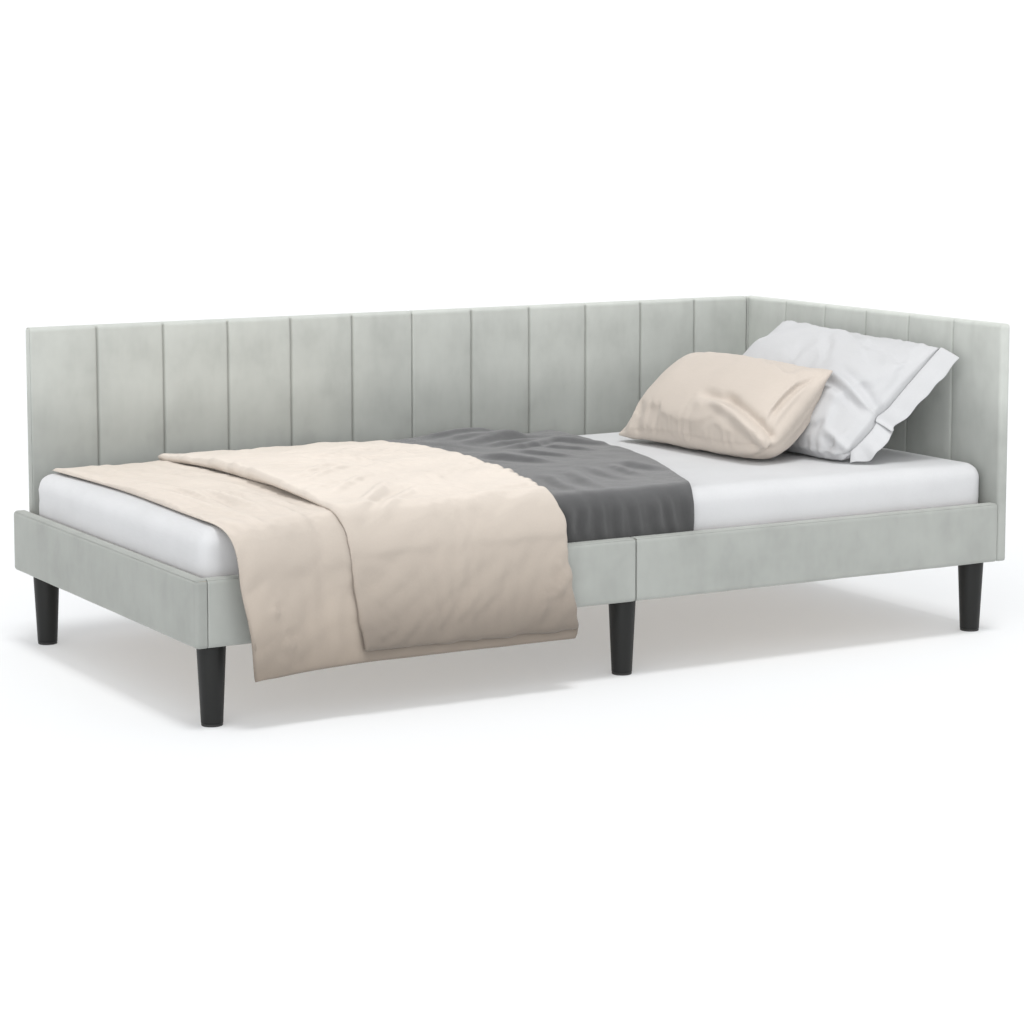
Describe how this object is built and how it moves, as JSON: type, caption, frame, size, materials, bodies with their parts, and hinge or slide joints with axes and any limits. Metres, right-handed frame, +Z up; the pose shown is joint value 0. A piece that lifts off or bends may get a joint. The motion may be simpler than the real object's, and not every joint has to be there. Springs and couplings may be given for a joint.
{
  "type": "daybed",
  "caption": "L-shaped daybed in channelled velvet on tapered legs, with slatted base, mattress, fitted sheet, blanket, folded duvet and leaning pillows.",
  "frame": {"origin": "on the floor, under the middle of the whole object's box, bedding included", "axes": "+X towards the head end, where the end panel stands; +Y towards the back panel; +Z up"},
  "size_m": [2.05, 1.1, 0.725],
  "materials": {
    "velvet": "short-pile upholstery velvet, light grey with a green cast",
    "lining": "non-woven dust lining, dark grey",
    "foam": "open-cell upholstery foam",
    "board": "engineered wood board",
    "slat_wood": "planed plywood, clear lacquer",
    "black_plastic": "black moulded plastic, satin",
    "glide": "black plastic glide, matt",
    "zinc": "zinc-plated pressed steel",
    "black_steel": "black powder coat",
    "ticking": "white knitted mattress ticking",
    "sheet": "white cotton",
    "blanket": "dark grey brushed knit",
    "duvet": "cream washed cotton",
    "white_cotton": "white cotton percale",
    "cream_cotton": "cream washed cotton",
    "filling": "polyester fibre filling"
  },
  "bodies": {
    "frame": {"foot_rail_cover": "velvet", "foot_rail_board": "board", "front_rail_left_cover": "velvet", "front_rail_left_board": "board", "front_rail_right_cover": "velvet", "front_rail_right_board": "board", "back_panel_left_cover": "velvet", "back_panel_left_board": "board", "back_panel_left_foam": "foam", "back_panel_left_lining": "lining", "back_panel_right_cover": "velvet", "back_panel_right_board": "board", "back_panel_right_foam": "foam", "back_panel_right_lining": "lining", "end_panel_cover": "velvet", "end_panel_board": "board", "end_panel_foam": "foam", "end_panel_lining": "lining", "leg_front_left": "black_plastic", "glide_front_left": "glide", "bracket_front_left": "zinc", "leg_front_middle": "black_plastic", "glide_front_middle": "glide", "bracket_front_middle": "zinc", "leg_front_right": "black_plastic", "glide_front_right": "glide", "bracket_front_right": "zinc", "slat_ledge_front_left": "slat_wood", "slat_ledge_front_right": "slat_wood", "leg_back_left": "black_plastic", "glide_back_left": "glide", "bracket_back_left": "zinc", "leg_back_middle": "black_plastic", "glide_back_middle": "glide", "bracket_back_middle": "zinc", "leg_back_right": "black_plastic", "glide_back_right": "glide", "bracket_back_right": "zinc", "slat_ledge_back_left": "slat_wood", "slat_ledge_back_right": "slat_wood", "middle_crossbar": "black_steel", "slat_01": "slat_wood", "slat_02": "slat_wood", "slat_03": "slat_wood", "slat_04": "slat_wood", "slat_05": "slat_wood", "slat_06": "slat_wood", "slat_07": "slat_wood", "slat_08": "slat_wood", "slat_09": "slat_wood", "slat_10": "slat_wood", "slat_11": "slat_wood"},
    "mattress": {"mattress": "ticking", "fitted_sheet": "sheet"},
    "blanket": {"blanket": "blanket"},
    "duvet": {"duvet": "duvet"},
    "pillow_white": {"pillow_white_case": "white_cotton", "pillow_white_filling": "filling"},
    "pillow_cream": {"pillow_cream_case": "cream_cotton", "pillow_cream_filling": "filling"}
  },
  "joints": [
    {"name": "mattress_lift", "type": "slide", "parent": "frame", "child": "mattress", "axis": [0, 0, 1], "range_m": [0, 0.55]},
    {"name": "blanket_lift", "type": "slide", "parent": "mattress", "child": "blanket", "axis": [0, 0, 1], "range_m": [0, 0.46]},
    {"name": "duvet_lift", "type": "slide", "parent": "blanket", "child": "duvet", "axis": [0, 0, 1], "range_m": [0, 0.64]},
    {"name": "pillow_white_lift", "type": "slide", "parent": "mattress", "child": "pillow_white", "axis": [0, 0, 1], "range_m": [0, 0.34]},
    {"name": "pillow_cream_lift", "type": "slide", "parent": "pillow_white", "child": "pillow_cream", "axis": [0, 0, 1], "range_m": [0, 0.34]}
  ]
}
